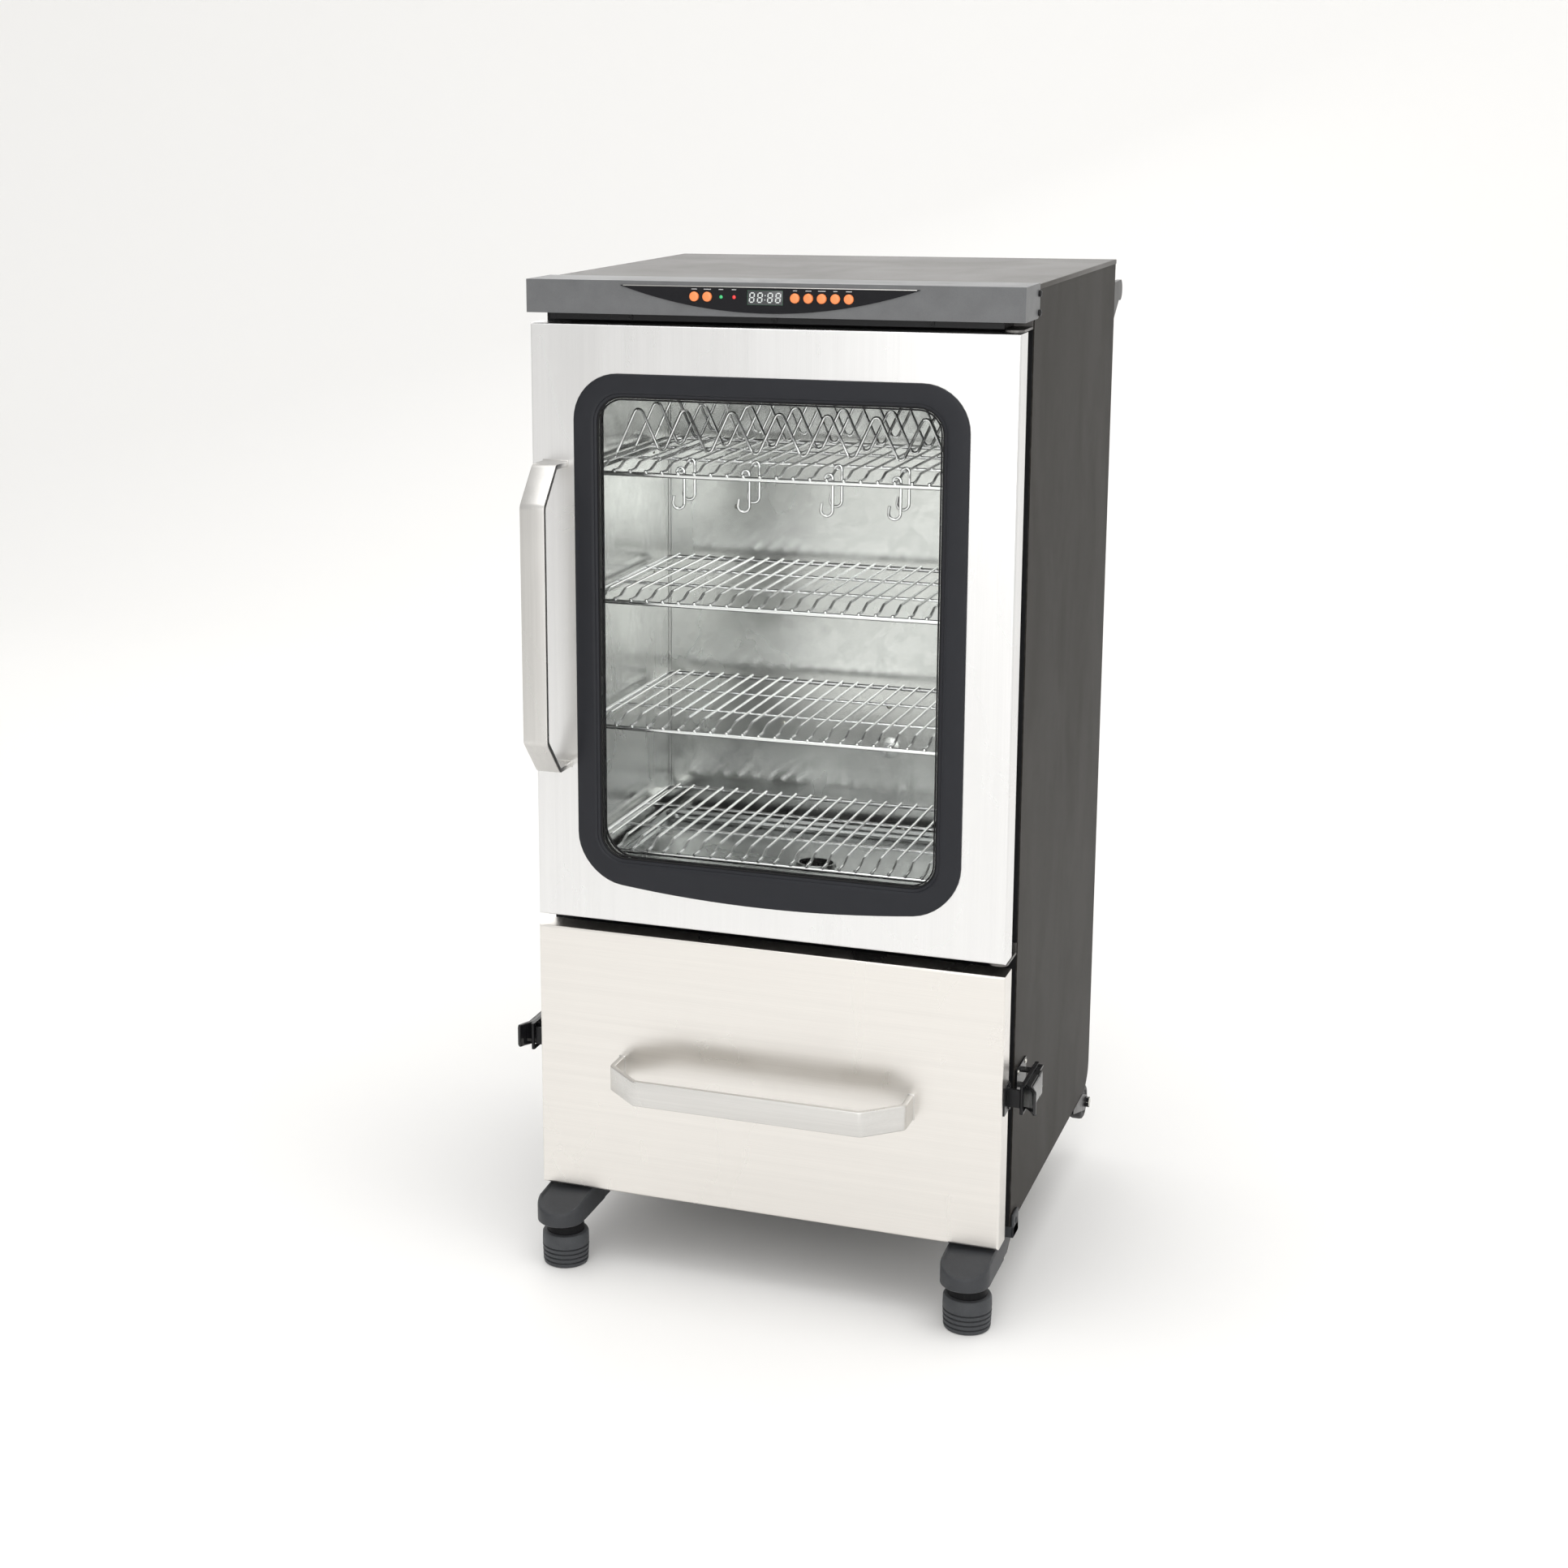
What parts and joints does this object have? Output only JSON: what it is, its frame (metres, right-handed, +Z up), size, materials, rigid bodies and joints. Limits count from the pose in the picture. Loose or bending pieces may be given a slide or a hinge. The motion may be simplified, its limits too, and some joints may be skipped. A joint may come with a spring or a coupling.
{
  "type": "electric smoker cabinet",
  "caption": "Upright insulated electric smoker cabinet with a glazed door, wire racks, a pull-out tray drawer, side draw latches and a keyed control head.",
  "frame": {"origin": "floor level, under the middle of the overall box", "axes": "+X to the right of a person facing the door, -Y towards that person, +Z up"},
  "size_m": [0.5944, 0.615, 1.11],
  "materials": {
    "cabinet_paint": "fine textured satin",
    "frame_paint": "satin",
    "brushed_front": "brushed satin",
    "chamber_steel": "mill finish",
    "handle_steel": "brushed satin",
    "wire_chrome": "bright",
    "wool": "matte",
    "charcoal_plastic": "fine grained",
    "black_plastic": "satin",
    "gloss_black": "gloss",
    "bezel_paint": "satin",
    "window": "clear",
    "seal_rubber": "matte",
    "key_orange": "gloss",
    "lamp_lens": "gloss",
    "board": "matte",
    "zinc": "satin plated",
    "heater_steel": "oxidised",
    "tray_steel": "mill finish",
    "lamp_glass": "frosted",
    "pad_rubber": "matte",
    "wheel_rubber": "matte"
  },
  "bodies": {
    "cabinet": {"side_panel_right": "cabinet_paint", "side_panel_left": "cabinet_paint", "back_shell": "cabinet_paint", "top_panel": "cabinet_paint", "front_frame": "frame_paint", "chamber_liner": "chamber_steel", "insulation": "wool", "rack_1": "wire_chrome", "rack_2": "wire_chrome", "rack_3": "wire_chrome", "rack_4": "wire_chrome", "rib_rack": "wire_chrome", "meat_hooks": "wire_chrome", "guide_rails": "chamber_steel", "drip_tray": "tray_steel", "heating_element": "heater_steel", "temperature_probe": "wire_chrome", "chamber_lamp": "lamp_glass", "control_housing": "charcoal_plastic", "control_bezel": "gloss_black", "control_board": "board", "indicator_lamps": "lamp_lens", "head_strip": "black_plastic", "head_screws": "black_plastic", "hinge_brackets": "zinc", "latch_bases": "black_plastic", "legs": "charcoal_plastic", "wheel_brackets": "black_plastic", "rear_handle": "black_plastic", "vent_duct": "black_plastic", "power_inlet": "black_plastic"},
    "door": {"door_skin": "brushed_front", "door_inner": "chamber_steel", "window_bezel": "bezel_paint", "window_glass": "window", "door_gasket": "seal_rubber", "door_handle": "handle_steel"},
    "drawer": {"drawer_front": "brushed_front", "drawer_carriage": "chamber_steel", "drawer_gasket": "seal_rubber", "drawer_handle": "handle_steel", "water_pan": "tray_steel", "chip_tray": "tray_steel", "latch_keepers": "black_plastic"},
    "key_1": {"button_1": "key_orange"},
    "key_2": {"button_2": "key_orange"},
    "key_3": {"button_3": "key_orange"},
    "key_4": {"button_4": "key_orange"},
    "key_5": {"button_5": "key_orange"},
    "key_6": {"button_6": "key_orange"},
    "key_7": {"button_7": "key_orange"},
    "lever_right": {"latch_lever_right": "black_plastic"},
    "bail_right": {"latch_bail_right": "black_plastic"},
    "foot_right": {"leveling_pad_right": "pad_rubber"},
    "roller_right": {"wheel_right": "wheel_rubber"},
    "lever_left": {"latch_lever_left": "black_plastic"},
    "bail_left": {"latch_bail_left": "black_plastic"},
    "foot_left": {"leveling_pad_left": "pad_rubber"},
    "roller_left": {"wheel_left": "wheel_rubber"},
    "damper": {"vent_damper": "black_plastic"}
  },
  "joints": [
    {"name": "door_hinge", "type": "hinge", "parent": "cabinet", "child": "door", "pos_m": [0.255, -0.2245, 0.7365], "axis": [0, 0, 1], "range_deg": [0, 120]},
    {"name": "drawer_slide", "type": "slide", "parent": "cabinet", "child": "drawer", "axis": [0, -1, 0], "range_m": [0, 0.3]},
    {"name": "key_1_press", "type": "slide", "parent": "cabinet", "child": "key_1", "axis": [0, 1, 0], "range_m": [0, 0.0012], "stiffness_N_per_m": 900, "springref_m": -0.0005},
    {"name": "key_2_press", "type": "slide", "parent": "cabinet", "child": "key_2", "axis": [0, 1, 0], "range_m": [0, 0.0012], "stiffness_N_per_m": 900, "springref_m": -0.0005},
    {"name": "key_3_press", "type": "slide", "parent": "cabinet", "child": "key_3", "axis": [0, 1, 0], "range_m": [0, 0.0012], "stiffness_N_per_m": 900, "springref_m": -0.0005},
    {"name": "key_4_press", "type": "slide", "parent": "cabinet", "child": "key_4", "axis": [0, 1, 0], "range_m": [0, 0.0012], "stiffness_N_per_m": 900, "springref_m": -0.0005},
    {"name": "key_5_press", "type": "slide", "parent": "cabinet", "child": "key_5", "axis": [0, 1, 0], "range_m": [0, 0.0012], "stiffness_N_per_m": 900, "springref_m": -0.0005},
    {"name": "key_6_press", "type": "slide", "parent": "cabinet", "child": "key_6", "axis": [0, 1, 0], "range_m": [0, 0.0012], "stiffness_N_per_m": 900, "springref_m": -0.0005},
    {"name": "key_7_press", "type": "slide", "parent": "cabinet", "child": "key_7", "axis": [0, 1, 0], "range_m": [0, 0.0012], "stiffness_N_per_m": 900, "springref_m": -0.0005},
    {"name": "latch_lever_right_turn", "type": "hinge", "parent": "cabinet", "child": "lever_right", "pos_m": [0.281, -0.1555, 0.255], "axis": [0, 0, 1], "range_deg": [0, 150]},
    {"name": "latch_bail_right_turn", "type": "hinge", "parent": "lever_right", "child": "bail_right", "pos_m": [0.281, -0.1465, 0.255], "axis": [0, 0, 1], "range_deg": [-150, 0]},
    {"name": "foot_right_adjust", "type": "slide", "parent": "cabinet", "child": "foot_right", "axis": [0, 0, -1], "range_m": [0, 0.015]},
    {"name": "roller_right_spin", "type": "hinge", "parent": "cabinet", "child": "roller_right", "pos_m": [0.255, 0.2425, 0.073], "axis": [1, 0, 0], "continuous": true},
    {"name": "latch_lever_left_turn", "type": "hinge", "parent": "cabinet", "child": "lever_left", "pos_m": [-0.281, -0.1555, 0.255], "axis": [0, 0, -1], "range_deg": [0, 150]},
    {"name": "latch_bail_left_turn", "type": "hinge", "parent": "lever_left", "child": "bail_left", "pos_m": [-0.281, -0.1465, 0.255], "axis": [0, 0, -1], "range_deg": [-150, 0]},
    {"name": "foot_left_adjust", "type": "slide", "parent": "cabinet", "child": "foot_left", "axis": [0, 0, -1], "range_m": [0, 0.015]},
    {"name": "roller_left_spin", "type": "hinge", "parent": "cabinet", "child": "roller_left", "pos_m": [-0.255, 0.2425, 0.073], "axis": [1, 0, 0], "continuous": true},
    {"name": "vent_damper_turn", "type": "hinge", "parent": "cabinet", "child": "damper", "pos_m": [0.13, 0.2565, 0.9785], "axis": [0, 1, 0], "range_deg": [0, 60]}
  ],
  "couplings": [
    {"joint": "latch_bail_right_turn", "follows": "latch_lever_right_turn", "ratio": -1},
    {"joint": "latch_bail_left_turn", "follows": "latch_lever_left_turn", "ratio": -1}
  ]
}
